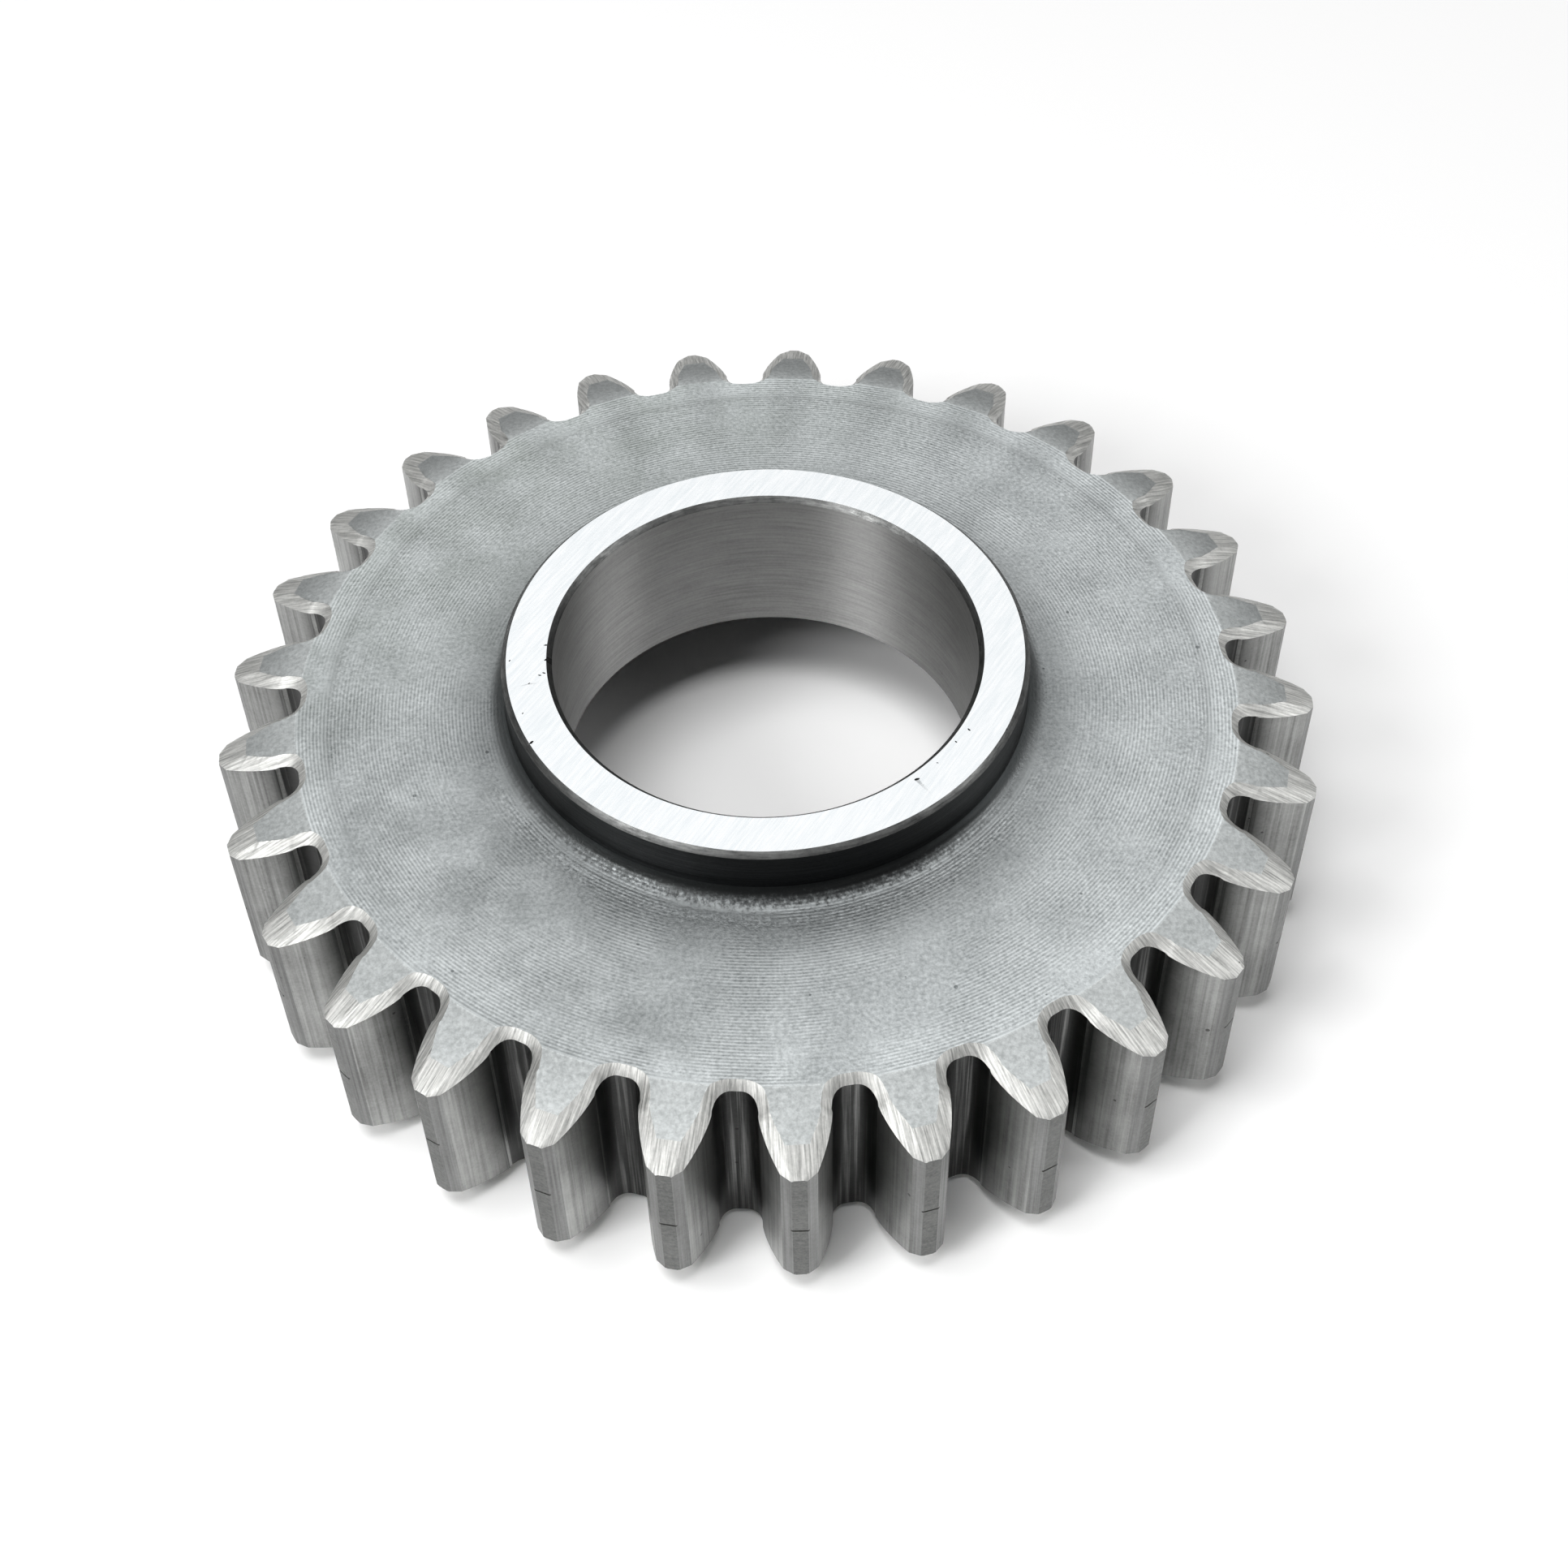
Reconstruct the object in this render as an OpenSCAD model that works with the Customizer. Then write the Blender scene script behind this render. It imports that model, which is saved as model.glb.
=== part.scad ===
// Spur pinion gear in one piece, lying with its axis upright and its hub ring on top.
// Z = 0 is the underside of the rim, the axis is Z, and one tooth is centred on +X.

/* [Teeth] */
// Number of teeth
teeth = 29; // [26:1:40]
// Module, the pitch diameter divided by the number of teeth
tooth_module = 3; // [2.8:0.05:3.2]
// Pressure angle of the involute flanks
pressure_angle = 20; // [18:0.5:22]
// Height of a tooth above the pitch circle
addendum = 3; // [2.7:0.1:3.2]
// Depth of a tooth gap below the pitch circle
dedendum = 3.8; // [3.6:0.1:4]
// Radius of the cutter tip that rounds the roots
root_fillet = 1; // [0.8:0.05:1.1]
// Depth of the undercut between flank and root
root_undercut = 0.1; // [0.05:0.01:0.12]
// Radial height of the small chamfers along each tip land
tip_chamfer = 0.6; // [0.4:0.05:0.8]
// Width that each of those chamfers takes off the tip land
tip_chamfer_width = 0.5; // [0.3:0.05:0.6]

/* [Tooth ends] */
// Fall of the tip edge below the web face, at each end of a tooth
tip_drop = 2.3; // [2:0.1:2.8]
// Slope of the tooth end faces, which fall away from the web
end_slope = 16; // [12:0.5:18]
// Radial length of the wide bevel at the tip
tip_bevel_length = 2.45; // [1.5:0.05:3]
// Slope of the bevel that follows the tooth outline
edge_bevel_slope = 40; // [35:1:50]
// Depth of that bevel at the root
root_bevel_depth = 0.7; // [0.5:0.05:0.9]
// Depth that it still has below the tip edge
corner_bevel_depth = 0.15; // [0.1:0.05:0.3]

/* [Rim and web] */
// Height of the rim, from its underside to the web face
rim_height = 18.7; // [16:0.1:22]
// Radial thickness of the rim under the tooth roots
rim_width = 7.7; // [6:0.1:9]
// Depth of the recess in the underside
recess_depth = 8.5; // [6:0.1:10]
// Fillet round the roof of the recess
recess_fillet = 1.5; // [0.5:0.1:2]
// Chamfer round the mouth of the recess
recess_chamfer = 0.5; // [0.3:0.05:1]

/* [Hub and bore] */
// Diameter of the hub ring
hub_diameter = 44; // [42:0.5:47]
// Height of the hub ring above the web face
hub_height = 5.2; // [3:0.1:8]
// Chamfer round the top edge of the hub ring
hub_chamfer = 0.45; // [0.2:0.05:0.8]
// Fillet where the hub ring meets the web
hub_fillet = 0.9; // [0.5:0.05:1.2]
// Diameter of the bore
bore_diameter = 35.5; // [30:0.5:38]
// Chamfer at each end of the bore
bore_chamfer = 0.45; // [0.2:0.05:0.8]

/* [Hidden] */

// Smoothness of the turned surfaces, the root fillets and the involute flanks
turned_facets = 180;
corner_steps = 6;
fillet_steps = 5;
flank_steps = 5;

// Length by which a cutter passes through the face that it cuts
pass = 1;

// The foot fillet of the hub stops at this slope and runs straight on through the web face
foot_slope = 15;
foot_run = 0.5;

// Circles of the toothing
pitch_radius = teeth * tooth_module / 2;
base_radius = pitch_radius * cos(pressure_angle);
tip_radius = pitch_radius + addendum;
root_radius = pitch_radius - dedendum;

// Heights and radii of the turned surfaces
total_height = rim_height + hub_height;
bore_radius = bore_diameter / 2;
hub_radius = hub_diameter / 2;
recess_radius = root_radius - rim_width;
tip_bevel_radius = tip_radius - tip_bevel_length;
tip_bevel_start = end_fall(tip_bevel_radius);

// Path of the rounded cutter tip: its depth and side offset from the pitch point
cutter_depth = dedendum - root_fillet;
cutter_offset = PI * tooth_module / 4 - cutter_depth * tan(pressure_angle)
    - (root_fillet - root_undercut) / cos(pressure_angle);
cutter_turn = 90 - pressure_angle;

// Where the flank leaves the undercut, and where its chamfer starts and ends
undercut_ramp = 0.35;
flank_start = norm(root_point(cutter_turn)) + undercut_ramp;
flank_end = tip_radius - tip_chamfer;
chamfer_overrun = 0.3;

// Points and directions in the plane
function polar(radius, angle) = [radius * cos(angle), radius * sin(angle)];
function turned(point, angle) = [
    point[0] * cos(angle) - point[1] * sin(angle),
    point[0] * sin(angle) + point[1] * cos(angle)
];
function mirrored(point) = [point[0], -point[1]];
function blend(from, to, share) = from + (to - from) * share;
function arc(centre, radius, from, to, steps) = [
    for (i = [0 : steps]) centre + polar(radius, blend(from, to, i / steps))
];

// Fall of the conical tooth ends below the web face
function end_fall(radius) = max(0, radius - root_radius) * tan(end_slope);

// Involute of an angle in degrees, and half the angle of a gap at a radius on the flank
function involute(angle) = tan(angle) * 180 / PI - angle;
function gap_half_angle(radius) =
    90 / teeth - involute(pressure_angle) + involute(acos(min(1, base_radius / radius)));
function flank_point(radius) = polar(radius, gap_half_angle(radius));

// Point that the rounded cutter tip leaves on the root when its normal has turned by an angle
function root_point(turn) =
    let (
        side = cutter_depth * tan(turn),
        roll = (side - cutter_offset) / pitch_radius * 180 / PI,
        contact = [
            pitch_radius - cutter_depth - root_fillet * cos(turn),
            side + root_fillet * sin(turn)
        ]
    )
    turned(contact, -roll);

// End of the tip chamfer, carried on in a straight line to just outside the tip circle
function chamfer_point() =
    let (
        start = flank_point(flank_end),
        edge_angle = gap_half_angle(tip_radius) + tip_chamfer_width / tip_radius * 180 / PI,
        edge = polar(tip_radius, edge_angle)
    )
    blend(start, edge, 1 + chamfer_overrun / tip_chamfer);

// One side of a tooth gap, from the middle of the root out past the tip, and the whole gap
gap_side = [
    for (i = [0 : fillet_steps]) root_point(cutter_turn * i / fillet_steps),
    for (i = [0 : flank_steps]) flank_point(blend(flank_start, flank_end, i / flank_steps)),
    chamfer_point()
];
half_count = len(gap_side);
gap_outline = [
    for (i = [half_count - 1 : -1 : 0]) mirrored(gap_side[i]),
    for (point = gap_side) point
];
last = 2 * half_count - 1;

// Direction into the steel across one edge of the gap, and at one of its corners, where its
// length is such that both edges of the corner move by the same width
function edge_normal(from, to) =
    let (step = to - from)
    [-step[1], step[0]] / norm(step);
function corner_normal(i) =
    let (
        before = edge_normal(gap_outline[max(i - 1, 0)], gap_outline[max(i, 1)]),
        after = edge_normal(gap_outline[min(i, last - 1)], gap_outline[min(i + 1, last)]),
        middle = (before + after) / 2
    )
    middle / pow(norm(middle), 2);

// The lower edge of the outline bevel lies in a plane that falls from the root to the tip
edge_plane_slope = (tip_drop + corner_bevel_depth - root_bevel_depth) / (tip_radius - root_radius);
function edge_fall(point) =
    root_bevel_depth + (point[0] - root_radius) * edge_plane_slope;

// Width that carries the bevel on until it is clear of the tooth end
bevel_reach = 1.3;
function clearing_width(point) =
    bevel_reach * (edge_fall(point) - end_fall(norm(point))) / tan(edge_bevel_slope);

// Point of the outline moved into the steel by a width, with its fall below the web face
function bevel_point(i, width) =
    let (place = gap_outline[i] + corner_normal(i) * width)
    [place[0], place[1], edge_fall(place) - width * tan(edge_bevel_slope)];

// The two rings of a cutter end, each closed by a point well outside the tip circle
cutter_nose = 1.5;
function closed_ring(points) = concat(points, [[tip_radius + cutter_nose, 0, points[0][2]]]);
edge_ring = closed_ring([for (i = [0 : last]) bevel_point(i, 0)]);
clear_ring = closed_ring([for (i = [0 : last]) bevel_point(i, clearing_width(gap_outline[i]))]);
function on_web_face(ring) = [
    for (point = ring) [point[0], point[1], rim_height - point[2]]
];

// Cutters for all the tooth gaps, one closed shell for each gap: involute flanks, undercut
// round root, and a bevel at each end
module gap_cutters() {
    shell_points = concat(clear_ring, edge_ring, on_web_face(edge_ring), on_web_face(clear_ring));
    ring = len(edge_ring);
    top = 3 * ring;
    walls = [
        for (level = [0 : ring : 2 * ring])
            for (i = [0 : ring - 1])
                let (next = (i + 1) % ring)
                [level + next, level + ring + next, level + ring + i, level + i]
    ];
    roof = [
        for (i = [0 : half_count - 2])
            [top + i, top + i + 1, top + last - i - 1, top + last - i]
    ];
    floor = [
        for (i = [0 : half_count - 2])
            [last - i, last - i - 1, i + 1, i]
    ];
    ends = [
        [top, top + last, top + last + 1],
        [last + 1, last, 0]
    ];
    shell_faces = concat(walls, roof, floor, ends);
    points = [
        for (gap = [0 : teeth - 1])
            for (point = shell_points)
                concat(turned(point, (gap + 0.5) * 360 / teeth), point[2])
    ];
    faces = [
        for (gap = [0 : teeth - 1])
            for (face = shell_faces)
                [for (corner = face) corner + gap * len(shell_points)]
    ];
    polyhedron(points, faces);
}

// Turned disc with conical tooth ends and a wide bevel at the tip, before the gaps are cut
module turned_disc() {
    rotate_extrude($fn = turned_facets)
        polygon([
            [0, 0],
            [root_radius, 0],
            [tip_bevel_radius, tip_bevel_start],
            [tip_radius, tip_drop],
            [tip_radius, rim_height - tip_drop],
            [tip_bevel_radius, rim_height - tip_bevel_start],
            [root_radius, rim_height],
            [0, rim_height]
        ]);
}

// Disc with all its teeth
module toothed_disc() {
    difference() {
        turned_disc();
        gap_cutters();
    }
}

// Hub ring with its foot fillet and top chamfer, still solid
module hub() {
    fillet_centre = [hub_radius + hub_fillet, rim_height + hub_fillet];
    foot = fillet_centre + polar(hub_fillet, 270 - foot_slope);
    rotate_extrude($fn = turned_facets)
        polygon(concat(
            [
                [0, rim_height - pass],
                [hub_radius, rim_height - pass],
                foot + foot_run * [1, -tan(foot_slope)]
            ],
            arc(fillet_centre, hub_fillet, 270 - foot_slope, 180, corner_steps),
            [
                [hub_radius, total_height - hub_chamfer],
                [hub_radius - hub_chamfer, total_height],
                [0, total_height]
            ]
        ));
}

// Cutter for the recess in the underside, with a chamfered mouth and a filleted roof
module recess() {
    rotate_extrude($fn = turned_facets)
        polygon(concat(
            [
                [0, -pass],
                [recess_radius + recess_chamfer + pass, -pass],
                [recess_radius, recess_chamfer]
            ],
            arc(
                [recess_radius - recess_fillet, recess_depth - recess_fillet],
                recess_fillet, 0, 90, corner_steps
            ),
            [[0, recess_depth]]
        ));
}

// Cutter for the bore, with a chamfer at each end
module bore() {
    rotate_extrude($fn = turned_facets)
        polygon([
            [0, recess_depth - pass],
            [bore_radius + bore_chamfer + pass, recess_depth - pass],
            [bore_radius, recess_depth + bore_chamfer],
            [bore_radius, total_height - bore_chamfer],
            [bore_radius + bore_chamfer + pass, total_height + pass],
            [0, total_height + pass]
        ]);
}

module pinion_gear() {
    color([0.66, 0.68, 0.68])
        difference() {
            union() {
                toothed_disc();
                hub();
            }
            recess();
            bore();
        }
}

pinion_gear();
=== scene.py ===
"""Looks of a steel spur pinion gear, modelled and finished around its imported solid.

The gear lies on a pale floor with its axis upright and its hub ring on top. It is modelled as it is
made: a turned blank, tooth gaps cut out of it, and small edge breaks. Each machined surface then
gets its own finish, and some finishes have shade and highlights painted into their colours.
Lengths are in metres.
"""

import logging
import math
import random
from collections.abc import Sequence
from dataclasses import dataclass, field
from enum import Enum

import bmesh
import bpy
from mathutils import Matrix, Vector


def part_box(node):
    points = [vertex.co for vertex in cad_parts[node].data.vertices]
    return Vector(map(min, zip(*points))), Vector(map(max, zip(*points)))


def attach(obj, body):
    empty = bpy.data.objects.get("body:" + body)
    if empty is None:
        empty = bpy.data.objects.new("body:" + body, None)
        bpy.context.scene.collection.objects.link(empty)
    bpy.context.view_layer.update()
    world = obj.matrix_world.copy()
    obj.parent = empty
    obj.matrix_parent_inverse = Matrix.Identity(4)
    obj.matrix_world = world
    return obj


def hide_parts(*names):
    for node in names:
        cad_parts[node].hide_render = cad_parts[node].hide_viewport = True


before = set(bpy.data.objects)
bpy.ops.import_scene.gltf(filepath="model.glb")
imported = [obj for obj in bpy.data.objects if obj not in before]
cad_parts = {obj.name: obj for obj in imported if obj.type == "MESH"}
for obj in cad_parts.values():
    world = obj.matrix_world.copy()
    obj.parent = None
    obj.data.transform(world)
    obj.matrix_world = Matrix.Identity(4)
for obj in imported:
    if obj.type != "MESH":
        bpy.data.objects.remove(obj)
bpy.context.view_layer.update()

log = logging.getLogger("pinion_gear")

MM = 0.001
FULL_TURN = 2 * math.pi
UP = Vector((0, 0, 1))
SAME_PLACE = 1e-7
CAD_NODE = "pinion_gear"
BODY = "root"

Point = tuple[float, float]
Colour = tuple[float, float, float]
Value = bpy.types.NodeSocket | float


def from_srgb(red: int, green: int, blue: int) -> Colour:
    """Turn a colour as seen on screen into the linear values of a shader.

    Args:
        red: Red, from 0 to 255.
        green: Green, from 0 to 255.
        blue: Blue, from 0 to 255.

    Returns:
        The three linear values, from 0 to 1.
    """
    def linear(level: int) -> float:
        """Return the linear value of one channel."""
        share = level / 255
        return share / 12.92 if share <= 0.04045 else ((share + 0.055) / 1.055) ** 2.4

    return linear(red), linear(green), linear(blue)


def in_metres(*pairs: Point) -> tuple[Point, ...]:
    """Turn pairs of millimetres and a factor into pairs of metres and the same factor."""
    return tuple((length * MM, factor) for length, factor in pairs)


class Region(Enum):
    """Machined surfaces of the gear, in the order of their material slots."""

    WEB = 0
    RING_FACE = 1
    HUB_WALL = 2
    EDGE_BREAK = 3
    BORE = 4
    TOOTH_END = 5
    END_BEVEL = 6
    FLANK = 7
    TIP_LAND = 8
    UNDERSIDE = 9
    TIP_CHAMFER = 10
    SCAR = 11
    SCRIBED = 12
    UNDERCUT = 13
    RECESS = 14


class Workbench:
    """Modelling steps that the pieces share, each done with Blender's own tools."""

    @staticmethod
    def clear_selection() -> None:
        """Leave edit mode and deselect everything."""
        if bpy.context.object and bpy.context.object.mode != "OBJECT":
            bpy.ops.object.mode_set(mode="OBJECT")
        bpy.ops.object.select_all(action="DESELECT")

    @staticmethod
    def pick_up(piece: bpy.types.Object) -> None:
        """Select one piece alone and make it the active one.

        Args:
            piece: The object to work on.
        """
        Workbench.clear_selection()
        piece.select_set(True)
        bpy.context.view_layer.objects.active = piece

    @staticmethod
    def sketch(name: str, points: Sequence[Vector]) -> bpy.types.Object:
        """Draw a closed outline, one extruded vertex after another, and stay in edit mode.

        Args:
            name: Name of the new object.
            points: Corners of the outline, in order.

        Returns:
            The object, with its outline selected.
        """
        Workbench.clear_selection()
        bpy.ops.mesh.primitive_plane_add(size=MM)
        piece = bpy.context.object
        piece.name = name
        bpy.ops.object.mode_set(mode="EDIT")
        bpy.ops.mesh.merge(type="CENTER")
        bpy.ops.transform.translate(value=points[0])
        for start, end in zip(points, [*points[1:], points[0]]):
            bpy.ops.mesh.extrude_region_move(
                TRANSFORM_OT_translate={"value": end - start, "orient_type": "GLOBAL"}
            )
        bpy.ops.mesh.select_all(action="SELECT")
        bpy.ops.mesh.remove_doubles(threshold=SAME_PLACE)
        return piece

    @staticmethod
    def raise_ring(piece: bpy.types.Object, old: Sequence[Vector], new: Sequence[Vector]) -> None:
        """Extrude the selected face and move each corner of it to its new place.

        Args:
            piece: The object in edit mode.
            old: Places of the face's corners.
            new: Their new places, in the same order.
        """
        bpy.ops.mesh.extrude_region_move(TRANSFORM_OT_translate={"value": (0, 0, 0)})
        mesh = bmesh.from_edit_mesh(piece.data)
        for vertex in mesh.verts:
            if vertex.select:
                nearest = min(range(len(old)), key=lambda i: (old[i] - vertex.co).length_squared)
                vertex.co = new[nearest]
        bmesh.update_edit_mesh(piece.data)

    @staticmethod
    def close_up(piece: bpy.types.Object) -> None:
        """Merge doubles, turn the faces outwards and leave edit mode.

        Args:
            piece: The object in edit mode.
        """
        bpy.ops.mesh.select_all(action="SELECT")
        bpy.ops.mesh.remove_doubles(threshold=SAME_PLACE)
        bpy.ops.mesh.normals_make_consistent(inside=False)
        bpy.ops.object.mode_set(mode="OBJECT")
        piece.data.update()

    @staticmethod
    def repeat_round(piece: bpy.types.Object, count: int) -> None:
        """Copy everything in a piece round the Z axis.

        Args:
            piece: The object to repeat.
            count: How many there are in a full turn, the first included.
        """
        Workbench.pick_up(piece)
        bpy.ops.object.mode_set(mode="EDIT")
        bpy.ops.mesh.select_all(action="SELECT")
        bpy.ops.mesh.spin(
            steps=count - 1,
            dupli=True,
            angle=FULL_TURN * (count - 1) / count,
            center=(0, 0, 0),
            axis=(0, 0, 1),
        )
        Workbench.close_up(piece)

    @staticmethod
    def join(pieces: Sequence[bpy.types.Object]) -> bpy.types.Object:
        """Join pieces into the first one of them.

        Args:
            pieces: The objects to join.

        Returns:
            The joined object.
        """
        Workbench.clear_selection()
        for piece in pieces:
            piece.select_set(True)
        bpy.context.view_layer.objects.active = pieces[0]
        bpy.ops.object.join()
        return pieces[0]

    @staticmethod
    def cut(piece: bpy.types.Object, cutter: bpy.types.Object) -> None:
        """Take a cutter's shape out of a piece and throw the cutter away.

        Args:
            piece: The object to cut.
            cutter: The closed shape to take out of it.
        """
        Workbench.pick_up(piece)
        modifier = piece.modifiers.new("cut", "BOOLEAN")
        modifier.operation = "DIFFERENCE"
        modifier.solver = "EXACT"
        modifier.object = cutter
        bpy.ops.object.modifier_apply(modifier=modifier.name)
        bpy.data.objects.remove(cutter)


@dataclass(frozen=True)
class Toothing:
    """Involute toothing of the gear, with its tooth gaps described in the plane.

    A gap is centred on +X. A point is (x, y), and its height is counted down from the web face.
    """

    teeth: int = 29
    module: float = 3 * MM
    pressure_angle: float = math.radians(20)
    addendum: float = 3 * MM
    dedendum: float = 3.8 * MM
    root_fillet: float = 1 * MM
    root_undercut: float = 0.1 * MM
    undercut_ramp: float = 0.35 * MM
    tip_chamfer: float = 0.6 * MM
    tip_chamfer_width: float = 0.5 * MM
    tip_drop: float = 2.3 * MM
    tip_bevel_length: float = 2.45 * MM
    end_slope: float = math.radians(16)
    edge_bevel_slope: float = math.radians(40)
    corner_bevel_slope: float = math.radians(25)
    bevel_ease_start: float = 40.9 * MM
    root_bevel_depth: float = 0.7 * MM
    corner_bevel_depth: float = 0.15 * MM
    bevel_reach: float = 1.3
    cutter_overrun: float = 0.1 * MM
    cutter_nose: float = 1.5 * MM
    fillet_steps: int = 8
    flank_steps: int = 8

    @property
    def pitch(self) -> float:
        """Angle from one tooth to the next."""
        return FULL_TURN / self.teeth

    @property
    def pitch_radius(self) -> float:
        """Radius of the pitch circle."""
        return self.teeth * self.module / 2

    @property
    def tip_radius(self) -> float:
        """Radius over the tips."""
        return self.pitch_radius + self.addendum

    @property
    def root_radius(self) -> float:
        """Radius of the roots."""
        return self.pitch_radius - self.dedendum

    @property
    def tip_bevel_radius(self) -> float:
        """Radius at which the wide bevel of the tip starts."""
        return self.tip_radius - self.tip_bevel_length

    def end_fall(self, radius: float) -> float:
        """Return the fall of the conical tooth ends below the web face at a radius."""
        return max(0.0, radius - self.root_radius) * math.tan(self.end_slope)

    def blank_fall(self, radius: float) -> float:
        """Return the fall of the blank's end face, the wide bevel of the tip included.

        Args:
            radius: Distance from the axis.

        Returns:
            The depth below the web face.
        """
        past = min(1.0, max(0.0, (radius - self.tip_bevel_radius) / self.tip_bevel_length))
        start = self.end_fall(min(radius, self.tip_bevel_radius))
        return start + past * (self.tip_drop - start)

    def bevel_slope(self, radius: float) -> float:
        """Return the slope of the outline bevel, which eases off towards the tip.

        Args:
            radius: Distance from the axis.

        Returns:
            The angle to the web face, in radians.
        """
        length = self.tip_bevel_radius - self.bevel_ease_start
        share = min(1.0, max(0.0, (radius - self.bevel_ease_start) / length))
        return self.edge_bevel_slope + share * (self.corner_bevel_slope - self.edge_bevel_slope)

    def gap_half_angle(self, radius: float) -> float:
        """Return half the angle of a gap at a radius on the flank.

        Args:
            radius: Distance from the axis.

        Returns:
            The angle in radians.
        """
        def involute(angle: float) -> float:
            """Return the involute function of an angle."""
            return math.tan(angle) - angle

        base_radius = self.pitch_radius * math.cos(self.pressure_angle)
        at_radius = math.acos(min(1.0, base_radius / radius))
        return self.pitch / 4 - involute(self.pressure_angle) + involute(at_radius)

    def flank_point(self, radius: float) -> Vector:
        """Return the point of the involute flank at a radius."""
        angle = self.gap_half_angle(radius)
        return Vector((radius * math.cos(angle), radius * math.sin(angle)))

    def root_point(self, turn: float) -> Vector:
        """Return the point that the round tip of the hob leaves on the root.

        Args:
            turn: Angle by which the normal of the hob's tip has turned.

        Returns:
            The point in the plane.
        """
        depth = self.dedendum - self.root_fillet
        offset = (
            math.pi * self.module / 4
            - depth * math.tan(self.pressure_angle)
            - (self.root_fillet - self.root_undercut) / math.cos(self.pressure_angle)
        )
        side = depth * math.tan(turn)
        roll = (side - offset) / self.pitch_radius
        contact = Vector((
            self.pitch_radius - depth - self.root_fillet * math.cos(turn),
            side + self.root_fillet * math.sin(turn),
        ))
        contact.rotate(Matrix.Rotation(-roll, 2))
        return contact

    @property
    def undercut_radius(self) -> float:
        """Radius at which the undercut of the root ends and its ramp to the flank starts."""
        return self.root_point(math.pi / 2 - self.pressure_angle).length

    def chamfer_point(self) -> Vector:
        """Return the end of the tip chamfer, carried on to just outside the tip circle.

        Returns:
            The point in the plane.
        """
        start = self.flank_point(self.tip_radius - self.tip_chamfer)
        angle = self.gap_half_angle(self.tip_radius) + self.tip_chamfer_width / self.tip_radius
        edge = Vector((self.tip_radius * math.cos(angle), self.tip_radius * math.sin(angle)))
        return start + (edge - start) * (1 + self.cutter_overrun / self.tip_chamfer)

    def gap_outline(self) -> list[Vector]:
        """Return the gap's open outline, from one tip down to the root and up to the other.

        Returns:
            The corners in the plane.
        """
        last_turn = math.pi / 2 - self.pressure_angle
        side = [self.root_point(last_turn * i / self.fillet_steps)
                for i in range(self.fillet_steps + 1)]
        flank_start = side[-1].length + self.undercut_ramp
        flank_end = self.tip_radius - self.tip_chamfer
        side += [self.flank_point(flank_start + (flank_end - flank_start) * i / self.flank_steps)
                 for i in range(self.flank_steps + 1)]
        side.append(self.chamfer_point())
        mirrored = [Vector((point.x, -point.y)) for point in reversed(side)]
        return mirrored + side

    def edge_fall(self, point: Vector) -> float:
        """Return the depth of the outline bevel's lower edge below the web face.

        Args:
            point: Place on the outline of a gap.

        Returns:
            The depth.
        """
        drop = self.tip_drop + self.corner_bevel_depth - self.root_bevel_depth
        slope = drop / (self.tip_radius - self.root_radius)
        return self.root_bevel_depth + (point.x - self.root_radius) * slope


@dataclass
class GapCutter:
    """Cutter for the tooth gaps, whose ends open out and so leave the bevel along the outline."""

    toothing: Toothing
    rim_height: float
    lift: float = 1.5 * MM

    def corner_normal(self, outline: Sequence[Vector], i: int) -> Vector:
        """Return the direction into the steel at a corner, scaled for an even offset.

        Args:
            outline: Corners of the gap.
            i: Index of the corner.

        Returns:
            The direction in the plane.
        """
        def edge_normal(start: Vector, end: Vector) -> Vector:
            """Return the unit direction into the steel across one edge."""
            step = end - start
            return Vector((-step.y, step.x)).normalized()

        before = max(i, 1)
        after = min(i, len(outline) - 2)
        middle = (
            edge_normal(outline[before - 1], outline[before])
            + edge_normal(outline[after], outline[after + 1])
        ) / 2
        return middle / middle.length_squared

    def ring(self, widening: float) -> list[Vector]:
        """Return one closed ring of the cutter, its height counted down from the web face.

        Args:
            widening: 0 for the gap's own outline, 1 where its bevel is clear of the steel.

        Returns:
            The corners of the ring.
        """
        teeth = self.toothing
        outline = teeth.gap_outline()
        corners = []
        for i, point in enumerate(outline):
            slope = math.tan(teeth.bevel_slope(point.length))
            depth = teeth.edge_fall(point) - teeth.blank_fall(point.length)
            width = widening * teeth.bevel_reach * depth / slope
            place = point + self.corner_normal(outline, i) * width
            corners.append(Vector((place.x, place.y, teeth.edge_fall(place) - width * slope)))
        nose = teeth.tip_radius + teeth.cutter_nose
        corners.append(Vector((nose, 0, corners[0].z)))
        return corners

    def build(self) -> bpy.types.Object:
        """Model one gap's cutter and repeat it round the gear.

        Returns:
            One object that holds the cutters of all the gaps.
        """
        def from_top(ring: list[Vector]) -> list[Vector]:
            """Place a ring at the upper end of the teeth."""
            return [Vector((p.x, p.y, self.rim_height - p.z)) for p in ring]

        flared, plain = self.ring(1), self.ring(0)
        lifted = [corner - UP * self.lift for corner in flared]
        rings = [lifted, flared, plain, from_top(plain), from_top(flared), from_top(lifted)]
        cutter = Workbench.sketch("gap_cutter", rings[0])
        bpy.ops.mesh.edge_face_add()
        for old, new in zip(rings, rings[1:]):
            Workbench.raise_ring(cutter, old, new)
        Workbench.close_up(cutter)
        cutter.data.transform(Matrix.Rotation(self.toothing.pitch / 2, 4, "Z"))
        Workbench.repeat_round(cutter, self.toothing.teeth)
        return cutter


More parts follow.
